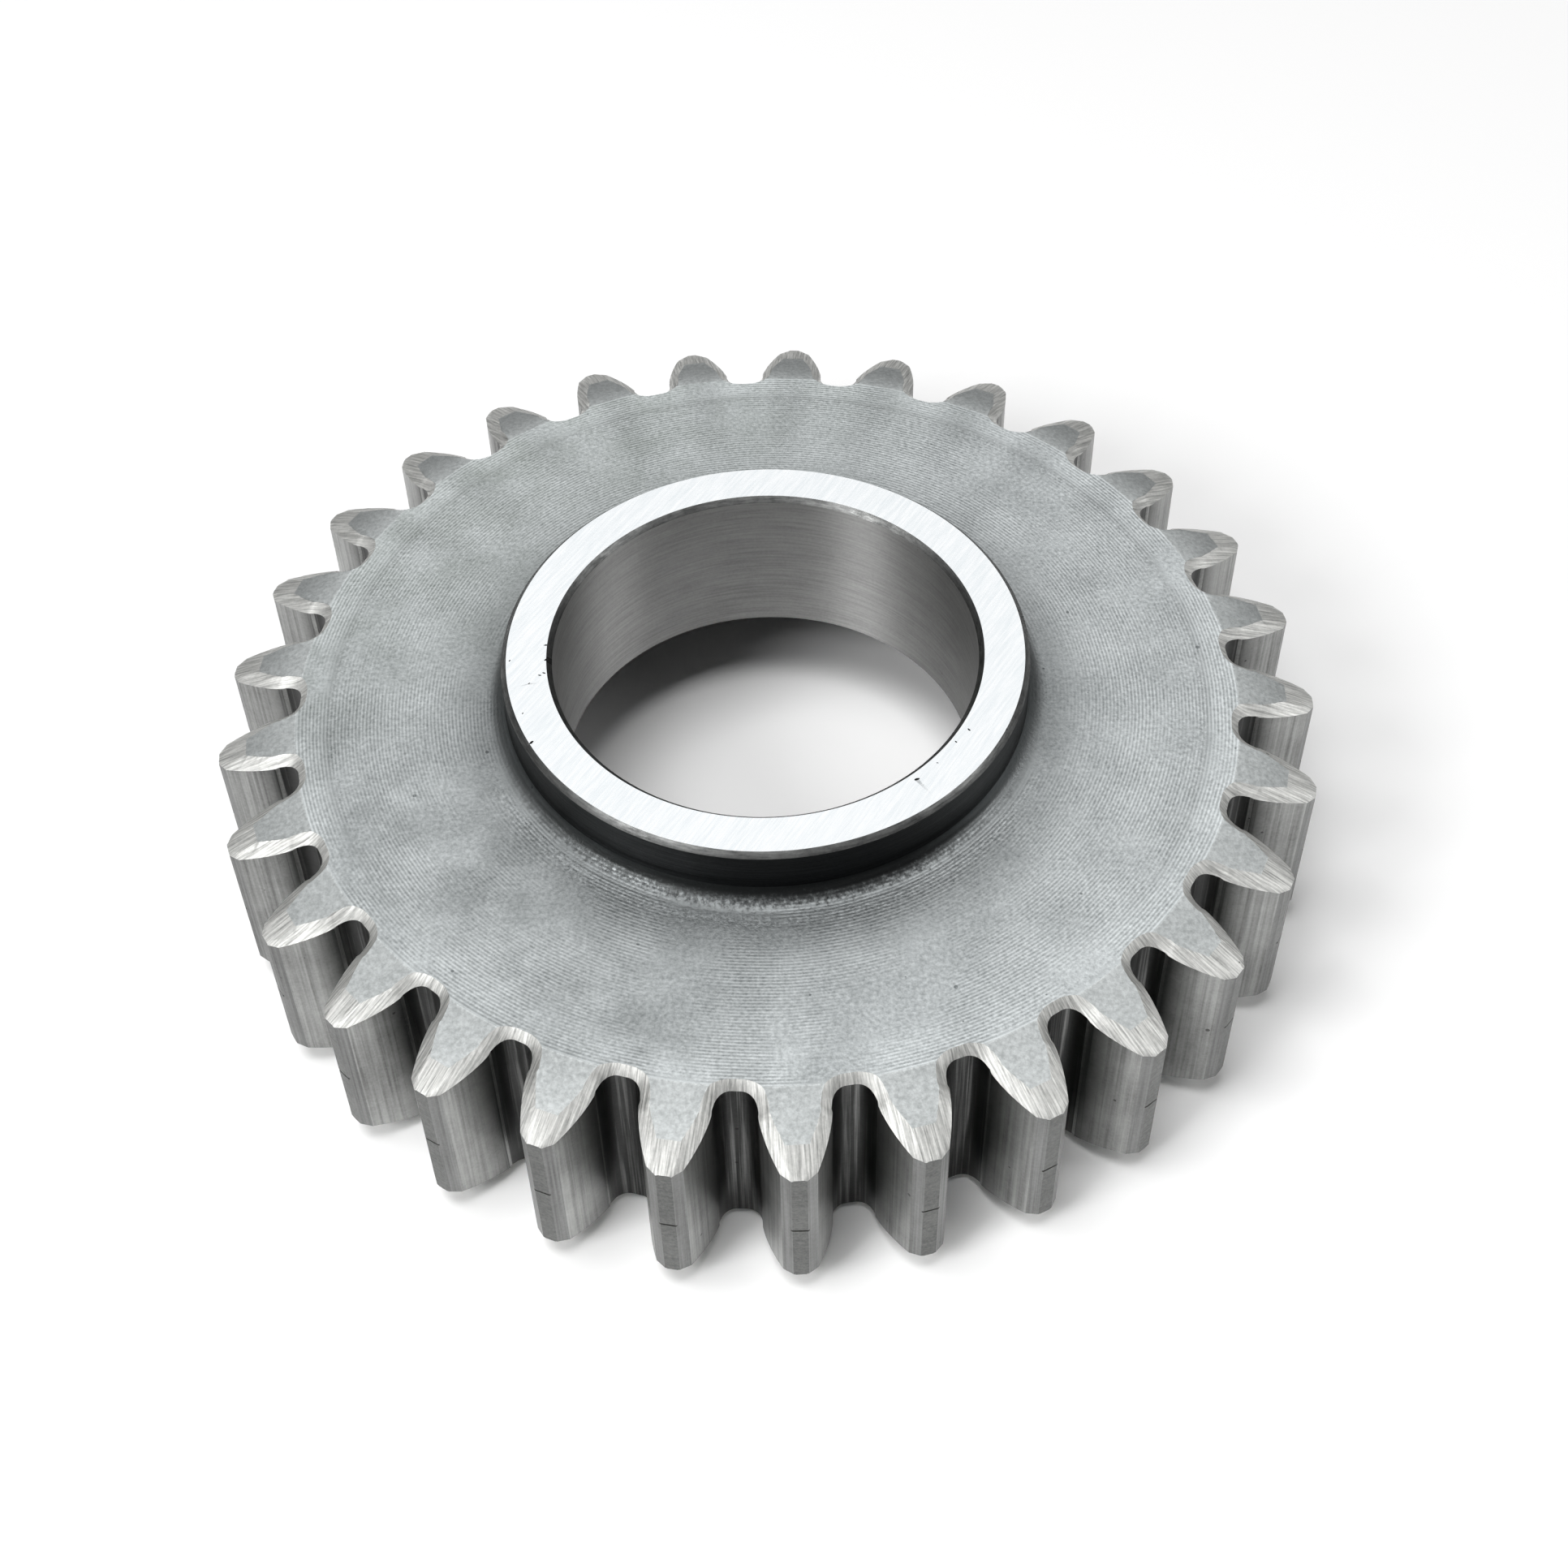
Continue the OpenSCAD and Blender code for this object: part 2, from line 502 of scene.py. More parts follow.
@dataclass
class Blank:
    """Turned blank of the gear: rim, web, hub ring, bore and the recess in the underside.

    The fields from slack on tell its surfaces apart, by place and by the lean of their normals.
    """

    toothing: Toothing
    rim_height: float = 18.7 * MM
    rim_width: float = 7.7 * MM
    recess_depth: float = 8.5 * MM
    recess_fillet: float = 1.5 * MM
    recess_chamfer: float = 0.5 * MM
    hub_radius: float = 22 * MM
    hub_height: float = 5.2 * MM
    hub_chamfer: float = 0.45 * MM
    hub_fillet: float = 1.8 * MM
    bore_radius: float = 17.75 * MM
    bore_chamfer: float = 0.45 * MM
    facets_per_tooth: int = 12
    corner_steps: int = 6
    slack: float = 0.05 * MM
    level: float = 0.99
    chamfer_lean: float = 0.5
    fillet_lean: float = 0.2
    bevel_lean: float = 0.3
    cone_slack: float = 0.01
    land_lean: float = 0.95

    @property
    def total_height(self) -> float:
        """Height from the underside of the rim to the hub face."""
        return self.rim_height + self.hub_height

    @property
    def recess_radius(self) -> float:
        """Radius of the recess in the underside."""
        return self.toothing.root_radius - self.rim_width

    def corner(self, centre: Point, radius: float, start: float, end: float) -> list[Point]:
        """Return the points of a round corner of the profile.

        Args:
            centre: Centre of the arc.
            radius: Radius of the arc.
            start: First angle, in degrees.
            end: Last angle, in degrees.

        Returns:
            The points, both ends included.
        """
        angles = [math.radians(start + (end - start) * i / self.corner_steps)
                  for i in range(self.corner_steps + 1)]
        return [(centre[0] + radius * math.cos(a), centre[1] + radius * math.sin(a))
                for a in angles]

    def profile(self) -> list[Point]:
        """Return the outline of the blank's section, as radius and height.

        Returns:
            The corners, in order round the section.
        """
        teeth = self.toothing
        low_bevel = teeth.end_fall(teeth.tip_bevel_radius)
        top = self.total_height
        foot = (self.hub_radius + self.hub_fillet, self.rim_height + self.hub_fillet)
        roof = (self.recess_radius - self.recess_fillet, self.recess_depth - self.recess_fillet)
        return [
            (self.recess_radius + self.recess_chamfer, 0),
            (teeth.root_radius, 0),
            (teeth.tip_bevel_radius, low_bevel),
            (teeth.tip_radius, teeth.tip_drop),
            (teeth.tip_radius, self.rim_height - teeth.tip_drop),
            (teeth.tip_bevel_radius, self.rim_height - low_bevel),
            (teeth.root_radius, self.rim_height),
            *self.corner(foot, self.hub_fillet, 270, 180),
            (self.hub_radius, top - self.hub_chamfer),
            (self.hub_radius - self.hub_chamfer, top),
            (self.bore_radius + self.bore_chamfer, top),
            (self.bore_radius, top - self.bore_chamfer),
            (self.bore_radius, self.recess_depth + self.bore_chamfer),
            (self.bore_radius + self.bore_chamfer, self.recess_depth),
            *self.corner(roof, self.recess_fillet, 90, 0),
            (self.recess_radius, self.recess_chamfer),
        ]

    def build(self) -> bpy.types.Object:
        """Draw the section and spin it into a solid of revolution.

        Returns:
            The blank, closed and with its faces outwards.
        """
        section = [Vector((radius, 0, height)) for radius, height in self.profile()]
        blank = Workbench.sketch("steel_blank", section)
        bpy.ops.mesh.spin(
            steps=self.toothing.teeth * self.facets_per_tooth,
            angle=FULL_TURN,
            center=(0, 0, 0),
            axis=(0, 0, 1),
        )
        Workbench.close_up(blank)
        return blank

    def region(self, centre: Vector, normal: Vector) -> Region:
        """Name the machined surface that a face of the finished gear belongs to.

        Args:
            centre: Middle of the face.
            normal: Its outward direction.

        Returns:
            The surface.
        """
        teeth = self.toothing
        radius = math.hypot(centre.x, centre.y)
        outward = (normal.x * centre.x + normal.y * centre.y) / radius
        upright = abs(normal.z)
        turned = math.hypot(outward, upright) > self.level
        near_roof = centre.z < self.recess_depth + self.slack
        in_hub = radius < self.hub_radius + self.hub_fillet
        if in_hub and centre.z > self.recess_depth - self.slack:
            if upright > self.level and centre.z > self.total_height - self.slack:
                return Region.RING_FACE
            if outward < -self.level:
                return Region.BORE
            if (upright > self.chamfer_lean and radius < self.hub_radius
                    and normal.z > -self.level):
                return Region.EDGE_BREAK
            if upright > self.fillet_lean and radius > self.hub_radius:
                return Region.WEB
            if normal.z > -self.level:
                return Region.HUB_WALL
        on_rim = self.recess_radius < radius < teeth.root_radius + self.slack
        if normal.z < -self.chamfer_lean and on_rim and turned:
            return Region.UNDERSIDE
        if radius < self.recess_radius + self.slack and near_roof:
            return Region.RECESS
        if radius < self.recess_radius + self.recess_chamfer and centre.z < self.recess_depth:
            return Region.UNDERSIDE
        if normal.z > self.level:
            return Region.WEB
        if upright > math.cos(teeth.end_slope) - self.cone_slack and turned:
            return Region.TOOTH_END
        if upright > self.bevel_lean:
            return Region.END_BEVEL
        if radius > teeth.tip_radius - teeth.tip_chamfer:
            return Region.TIP_LAND if outward > self.land_lean else Region.TIP_CHAMFER
        if 0 < radius - teeth.undercut_radius < teeth.undercut_ramp:
            return Region.UNDERCUT
        return Region.FLANK


class Graph:
    """A node tree under construction, with short ways to add and link nodes."""

    look_up_top: float = 2.0

    def __init__(self, tree: bpy.types.NodeTree) -> None:
        """Start on an empty tree.

        Args:
            tree: The tree to build in.
        """
        self.tree = tree
        self.tree.nodes.clear()

    def add(self, kind: str, inputs: dict[str | int, Value | Sequence[float]] | None = None,
            **settings: object) -> bpy.types.Node:
        """Add a node.

        Args:
            kind: Type of the node.
            inputs: What goes into its sockets: another node's output, or a constant.
            settings: Settings of the node itself.

        Returns:
            The node.
        """
        node = self.tree.nodes.new(kind)
        for name, value in settings.items():
            setattr(node, name, value)
        for socket, value in (inputs or {}).items():
            if isinstance(value, bpy.types.NodeSocket):
                self.tree.links.new(value, node.inputs[socket])
            else:
                node.inputs[socket].default_value = value
        return node

    def math(self, operation: str, *values: Value, clamp: bool = False) -> bpy.types.NodeSocket:
        """Add a math node.

        Args:
            operation: What the node works out.
            values: What goes into it.
            clamp: Whether the result is kept between 0 and 1.

        Returns:
            The result.
        """
        node = self.add("ShaderNodeMath", dict(enumerate(values)), operation=operation,
                        use_clamp=clamp)
        return node.outputs[0]

    def vector_math(self, operation: str, *values: Value) -> bpy.types.NodeSocket:
        """Add a vector math node and return its vector."""
        node = self.add("ShaderNodeVectorMath", dict(enumerate(values)), operation=operation)
        return node.outputs[0]

    def remap(self, value: Value, low: float, high: float) -> bpy.types.NodeSocket:
        """Stretch a value so that low becomes 0 and high becomes 1, and clamp it."""
        node = self.add("ShaderNodeMapRange", {0: value, 1: low, 2: high})
        return node.outputs[0]

    def length_from_axis(self, place: Value) -> tuple[bpy.types.NodeSocket, ...]:
        """Split up a place and measure how far it is from the Z axis.

        Args:
            place: The place.

        Returns:
            Its X, Y and Z, and the distance.
        """
        x, y, z = self.add("ShaderNodeSeparateXYZ", {0: place}).outputs
        squares = self.math("ADD", self.math("MULTIPLY", x, x), self.math("MULTIPLY", y, y))
        return x, y, z, self.math("SQRT", squares)

    def look_up(self, value: Value, stops: Sequence[Point]) -> bpy.types.NodeSocket:
        """Look a value up in a row of stops, with straight lines between them.

        Args:
            value: Where to look.
            stops: Pairs of a value and its result, which look_up_top limits.

        Returns:
            The result.
        """
        first, last = stops[0][0], stops[-1][0]
        node = self.add("ShaderNodeValToRGB", {0: self.remap(value, first, last)})
        elements = node.color_ramp.elements
        for i, (position, result) in enumerate(stops):
            share = (position - first) / (last - first)
            element = elements[0] if i == 0 else elements.new(share)
            if i == len(stops) - 1:
                elements.remove(element)
                element = elements[-1]
            element.position = share
            element.color = (*[result / self.look_up_top] * 3, 1)
        return self.math("MULTIPLY", node.outputs[0], self.look_up_top)

    def scale_colour(self, colour: Value, factor: Value) -> bpy.types.NodeSocket:
        """Make a colour lighter or darker by a factor."""
        node = self.add("ShaderNodeVectorMath", {0: colour, "Scale": factor}, operation="SCALE")
        return node.outputs[0]

    def mix_colour(self, share: Value, first: Value | Sequence[float],
                   second: Value | Sequence[float]) -> bpy.types.NodeSocket:
        """Mix two colours.

        Args:
            share: How much of the second one there is.
            first: The first colour.
            second: The second colour.

        Returns:
            The mixed colour.
        """
        node = self.add("ShaderNodeMix", {0: share, 6: first, 7: second}, data_type="RGBA")
        return node.outputs[2]

    def group(self, tree: bpy.types.NodeTree,
              inputs: dict[str, Value | Sequence[float]]) -> bpy.types.Node:
        """Place a node group in the tree."""
        return self.add("ShaderNodeGroup", inputs, node_tree=tree)


@dataclass(frozen=True)
class Socket:
    """One input or output of a node group."""

    name: str
    kind: str = "NodeSocketFloat"


PLACE = Socket("Place", "NodeSocketVector")


@dataclass
class Effects:
    """Node groups that the finishes of the gear share.

    A range is the part of a noise that is stretched to run from 0 to 1.
    """

    toothing: Toothing
    line_detail: float = 3.0
    line_roughness: float = 0.6
    line_range: tuple[float, float] = (0.3, 0.7)
    fine_line_scale: float = 3.1
    feed_detail: float = 2.0
    feed_wander: float = 1.2
    feed_range: tuple[float, float] = (0.38, 0.56)
    grain_detail: float = 4.0
    grain_roughness: float = 0.65
    grain_range: tuple[float, float] = (0.32, 0.68)
    patch_range: tuple[float, float] = (0.35, 0.65)
    speck_size: float = 0.16
    speck_loss: float = 0.06

    def __post_init__(self) -> None:
        """Build every group once."""
        self.round_place = self.build_round_place()
        self.tooth_place = self.build_tooth_place()
        self.lines = self.build_lines()
        self.feed = self.build_feed()
        self.mottle = self.build_mottle()

    @staticmethod
    def start(name: str, inputs: Sequence[Socket],
              outputs: Sequence[Socket]) -> tuple[Graph, bpy.types.Node, bpy.types.Node]:
        """Start a node group.

        Args:
            name: Name of the group.
            inputs: Its inputs.
            outputs: Its outputs.

        Returns:
            The graph to build in, its input node and its output node.
        """
        tree = bpy.data.node_groups.new(name, "ShaderNodeTree")
        for side, sockets in (("INPUT", inputs), ("OUTPUT", outputs)):
            for socket in sockets:
                tree.interface.new_socket(socket.name, in_out=side, socket_type=socket.kind)
        graph = Graph(tree)
        return graph, graph.add("NodeGroupInput"), graph.add("NodeGroupOutput")

    def build_round_place(self) -> bpy.types.NodeTree:
        """Build the group for turned surfaces: distance across the lines, and a seamless angle.

        Returns:
            The group.
        """
        graph, given, result = self.start(
            "round_place", [PLACE, Socket("Radius share"), Socket("Height share")], [PLACE],
        )
        x, y, z, radius = graph.length_from_axis(given.outputs["Place"])
        across = graph.math(
            "ADD",
            graph.math("MULTIPLY", radius, given.outputs["Radius share"]),
            graph.math("MULTIPLY", z, given.outputs["Height share"]),
        )
        place = graph.add("ShaderNodeCombineXYZ", {
            0: across,
            1: graph.math("DIVIDE", x, radius),
            2: graph.math("DIVIDE", y, radius),
        })
        graph.tree.links.new(place.outputs[0], result.inputs["Place"])
        return graph.tree

    def build_tooth_place(self) -> bpy.types.NodeTree:
        """Build the group for the teeth: place along, across and up a tooth, and its number.

        Returns:
            The group.
        """
        graph, given, result = self.start(
            "tooth_place", [PLACE], [PLACE, Socket("Number")],
        )
        x, y, z, radius = graph.length_from_axis(given.outputs["Place"])
        angle = graph.math("ARCTAN2", y, x)
        pitch = self.toothing.pitch
        number = graph.math("ROUND", graph.math("DIVIDE", angle, pitch))
        rest = graph.math("SUBTRACT", angle, graph.math("MULTIPLY", number, pitch))
        place = graph.add("ShaderNodeCombineXYZ", {
            0: graph.math("MULTIPLY", radius, graph.math("COSINE", rest)),
            1: graph.math("MULTIPLY", radius, graph.math("SINE", rest)),
            2: z,
        })
        graph.tree.links.new(place.outputs[0], result.inputs["Place"])
        graph.tree.links.new(number, result.inputs["Number"])
        return graph.tree

    def build_lines(self) -> bpy.types.NodeTree:
        """Build the group for tool lines: noise drawn out by a density along each direction.

        Returns:
            The group.
        """
        graph, given, result = self.start(
            "tool_lines",
            [PLACE, Socket("Density", "NodeSocketVector"), Socket("Seed")],
            [Socket("Lines"), Socket("Fine lines")],
        )
        stretched = graph.vector_math("MULTIPLY", given.outputs["Place"],
                                      given.outputs["Density"])
        for output, scale in (("Lines", 1.0), ("Fine lines", self.fine_line_scale)):
            noise = graph.add(
                "ShaderNodeTexNoise",
                {"Vector": stretched, "W": given.outputs["Seed"], "Scale": scale,
                 "Detail": self.line_detail, "Roughness": self.line_roughness},
                noise_dimensions="4D",
            )
            lines = graph.remap(noise.outputs[0], *self.line_range)
            graph.tree.links.new(lines, result.inputs[output])
        return graph.tree

    def build_feed(self) -> bpy.types.NodeTree:
        """Build the group for the even rings that the feed of the lathe leaves on a face.

        Returns:
            The group.
        """
        graph, given, result = self.start(
            "feed_rings",
            [PLACE, Socket("Pitch"), Socket("Wander density")],
            [Socket("Rings")],
        )
        place = given.outputs["Place"]
        radius = graph.length_from_axis(place)[3]
        noise = graph.add("ShaderNodeTexNoise", {
            "Vector": place, "Scale": given.outputs["Wander density"],
            "Detail": self.feed_detail,
        })
        turns = graph.math("ADD", graph.math("DIVIDE", radius, given.outputs["Pitch"]),
                           graph.math("MULTIPLY", noise.outputs[0], self.feed_wander))
        wave = graph.math("SINE", graph.math("MULTIPLY", turns, FULL_TURN))
        strength = graph.remap(noise.outputs[0], *self.feed_range)
        rings = graph.math("MULTIPLY_ADD", graph.math("MULTIPLY", wave, strength), 0.5, 0.5)
        graph.tree.links.new(rings, result.inputs["Rings"])
        return graph.tree

    def build_mottle(self) -> bpy.types.NodeTree:
        """Build the group for the grain of the steel: fine grain, soft patches and dark specks.

        Returns:
            The group.
        """
        graph, given, result = self.start(
            "steel_mottle",
            [PLACE, Socket("Grain density"), Socket("Patch density"),
             Socket("Speck density")],
            [Socket("Grain"), Socket("Patches"), Socket("Specks")],
        )
        place = given.outputs["Place"]
        for output, density, limits in (("Grain", "Grain density", self.grain_range),
                                        ("Patches", "Patch density", self.patch_range)):
            noise = graph.add("ShaderNodeTexNoise", {
                "Vector": place,
                "Scale": given.outputs[density],
                "Detail": self.grain_detail,
                "Roughness": self.grain_roughness,
            })
            graph.tree.links.new(graph.remap(noise.outputs[0], *limits), result.inputs[output])
        cells = graph.add("ShaderNodeTexVoronoi", {
            "Vector": place, "Scale": given.outputs["Speck density"], "Randomness": 1.0,
        })
        size = graph.math("MULTIPLY", cells.outputs["Color"], self.speck_size)
        speck = graph.math("LESS_THAN", cells.outputs["Distance"],
                           graph.math("SUBTRACT", size, self.speck_loss))
        graph.tree.links.new(speck, result.inputs["Specks"])
        return graph.tree


class Pattern(Enum):
    """Directions in which a tool leaves its lines."""

    FEED = "even rings of the lathe's feed"
    TURNED_FACE = "rings round the axis"
    TURNED_WALL = "hoops round a wall"
    GROUND = "parallel diagonal strokes"
    ALONG_TOOTH = "strokes along each tooth"
    UPRIGHT = "upright strokes on the flanks"


@dataclass(frozen=True)
class SideTintAndShade:
    """Uneven tint on one side of the gear, which on the web also serves as painted shade.

    Its side is a direction, and it grows from nothing at the start to its full strength at the
    end, which are distances from the axis along that direction.
    """

    colour: Colour
    side: tuple[float, float, float]
    start: float
    end: float
    strength: float


@dataclass(frozen=True)
class Finish:
    """Look of one machined surface.

    The coarse lines, the grain and the patches are mixed by their contrasts, and together they
    lead from the colour to its shade. The bands are pairs of a radius and the factor by which
    the colour is lighter there; they paint shade and highlights into the colour by radius, with
    stains among them. The front bands take their place on the side towards -Y, and the front
    range is where they do, as the share of Y in the radius.
    """

    region: Region
    pattern: Pattern
    colour: Colour
    shade: Colour
    roughness: float
    roughness_range: float = 0.1
    anisotropy: float = 0.0
    anisotropic_turn: float = 0.25
    line_pitch: float = 0.3 * MM
    line_length: float = 8 * MM
    line_contrast: float = 0.5
    line_depth: float = 0.004 * MM
    fine_line_share: float = 0.4
    grinding_angle: float = math.radians(-58)
    stroke_stretch: float = 9
    grain_pitch: float = 0.25 * MM
    grain_contrast: float = 0.3
    grain_depth: float = 0.003 * MM
    patch_pitch: float = 9 * MM
    patch_contrast: float = 0.25
    speck_pitch: float = 2.2 * MM
    speck_strength: float = 0.5
    stain_and_light_bands: tuple[Point, ...] = ()
    front_light_and_stain_bands: tuple[Point, ...] = ()
    front_range: tuple[float, float] = (-0.25, -0.85)
    band_scatter: float = 0.3 * MM
    side_tints_and_shade: tuple[SideTintAndShade, ...] = ()

    def line_field(self, graph: Graph, effects: Effects,
                   place: bpy.types.NodeSocket) -> tuple[bpy.types.NodeSocket, ...]:
        """Add the tool lines of this finish.

        Args:
            graph: Tree of the material.
            effects: The shared groups.
            place: Object coordinates.

        Returns:
            The coarse lines and the fine lines, each from 0 to 1.
        """
        across = 1 / self.line_pitch
        along = 1 / self.line_length
        seed: Value = float(self.region.value)
        if self.pattern in (Pattern.FEED, Pattern.TURNED_FACE, Pattern.TURNED_WALL):
            on_face = float(self.pattern is not Pattern.TURNED_WALL)
            node = graph.group(effects.round_place, {
                "Place": place, "Radius share": on_face, "Height share": 1 - on_face,
            })
            reach = effects.toothing.root_radius / self.line_length
            density = (across, reach, reach)
        elif self.pattern is Pattern.GROUND:
            node = graph.add("ShaderNodeMapping",
                             {"Vector": place, "Rotation": (0, 0, self.grinding_angle)})
            density = (along, across, across)
        else:
            node = graph.group(effects.tooth_place, {"Place": place})
            seed = node.outputs["Number"]
            upright = self.pattern is Pattern.UPRIGHT
            rise = across / self.stroke_stretch
            density = (across, across, along) if upright else (along, across, rise)
        lines = graph.group(effects.lines, {
            "Place": node.outputs[0], "Density": density, "Seed": seed,
        })
        if self.pattern is Pattern.FEED:
            feed = graph.group(effects.feed, {
                "Place": place, "Pitch": self.line_pitch,
                "Wander density": 1 / self.line_length,
            })
            return feed.outputs["Rings"], lines.outputs["Lines"]
        return lines.outputs["Lines"], lines.outputs["Fine lines"]

    def shade_bands(self, graph: Graph, colour: bpy.types.NodeSocket,
                    place: bpy.types.NodeSocket, scatter: Value,
                    patches: Value) -> bpy.types.NodeSocket:
        """Paint light and shade into the colour by the bands, which carry stains too, and add the
        side tints, one of which is painted shade.

        Args:
            graph: Tree of the material.
            colour: The colour so far.
            place: Object coordinates.
            scatter: Noise from 0 to 1 that roughens the bands' edges.
            patches: Noise from 0 to 1 that makes the side tints and the painted side shade uneven.

        Returns:
            The colour.
        """
        # The bands paint shade and highlights into the colour by radius, with stains among them;
        # the front bands add painted shade and painted highlights on the side towards -Y.
        if self.stain_and_light_bands:
            _, y, _, radius = graph.length_from_axis(place)
            moved = graph.math("MULTIPLY_ADD", graph.math("SUBTRACT", scatter, 0.5),
                               self.band_scatter, radius)
            factor = graph.look_up(moved, self.stain_and_light_bands)
            if self.front_light_and_stain_bands:
                front = graph.remap(graph.math("DIVIDE", y, radius), *self.front_range)
                factor = graph.add("ShaderNodeMix", {
                    0: front, 2: factor, 3: graph.look_up(moved, self.front_light_and_stain_bands),
                }).outputs[0]
            colour = graph.scale_colour(colour, factor)
        # Side tints: on the web, a darker greenish tint to the rear left and painted shade to the
        # front left.
        for tinted_side in self.side_tints_and_shade:
            reach = graph.add("ShaderNodeVectorMath", {0: place, 1: tinted_side.side},
                              operation="DOT_PRODUCT").outputs["Value"]
            uneven = graph.math("MULTIPLY_ADD", patches, tinted_side.strength, tinted_side.strength / 2)
            share = graph.math("MULTIPLY", graph.remap(reach, tinted_side.start, tinted_side.end), uneven)
            colour = graph.mix_colour(share, colour, (*tinted_side.colour, 1))
        return colour

    def material(self, effects: Effects) -> bpy.types.Material:
        """Build the material of this finish.

        Args:
            effects: The shared node groups.

        Returns:
            The material.
        """
        material = bpy.data.materials.new(f"steel_{self.region.name.lower()}")
        material.use_nodes = True
        graph = Graph(material.node_tree)
        place = graph.add("ShaderNodeTexCoord").outputs["Object"]
        lines, fine_lines = self.line_field(graph, effects, place)
        mottle = graph.group(effects.mottle, {
            "Place": place,
            "Grain density": 1 / self.grain_pitch,
            "Patch density": 1 / self.patch_pitch,
            "Speck density": 1 / self.speck_pitch,
        })
        grain, patches, specks = mottle.outputs
        drawn = graph.math("MULTIPLY", lines, self.line_contrast)
        grained = graph.math("MULTIPLY_ADD", grain, self.grain_contrast, drawn)
        patched = graph.math("MULTIPLY_ADD", patches, self.patch_contrast, grained)
        whole = self.line_contrast + self.grain_contrast + self.patch_contrast
        tone = graph.math("DIVIDE", patched, whole)
        darkened = graph.math("MULTIPLY_ADD", specks, self.speck_strength, tone, clamp=True)
        colour = graph.mix_colour(darkened, (*self.colour, 1), (*self.shade, 1))
        scatter = lines if self.pattern is Pattern.UPRIGHT else grain
        colour = self.shade_bands(graph, colour, place, scatter, patches)
        roughness = graph.math("MULTIPLY_ADD", tone, self.roughness_range,
                               self.roughness - self.roughness_range / 2)
        line_bump = graph.add("ShaderNodeBump", {
            "Height": graph.math("ADD", lines, graph.math("MULTIPLY", fine_lines,
                                                          self.fine_line_share)),
            "Distance": self.line_depth,
        })
        grain_bump = graph.add("ShaderNodeBump", {
            "Height": grain, "Distance": self.grain_depth, "Normal": line_bump.outputs[0],
        })
        shader = graph.add("ShaderNodeBsdfPrincipled", {
            "Base Color": colour,
            "Roughness": roughness,
            "Metallic": 1.0,
            "Anisotropic": self.anisotropy,
            "Anisotropic Rotation": self.anisotropic_turn,
            "Normal": grain_bump.outputs[0],
        })
        graph.add("ShaderNodeOutputMaterial", {"Surface": shader.outputs[0]})
        return material


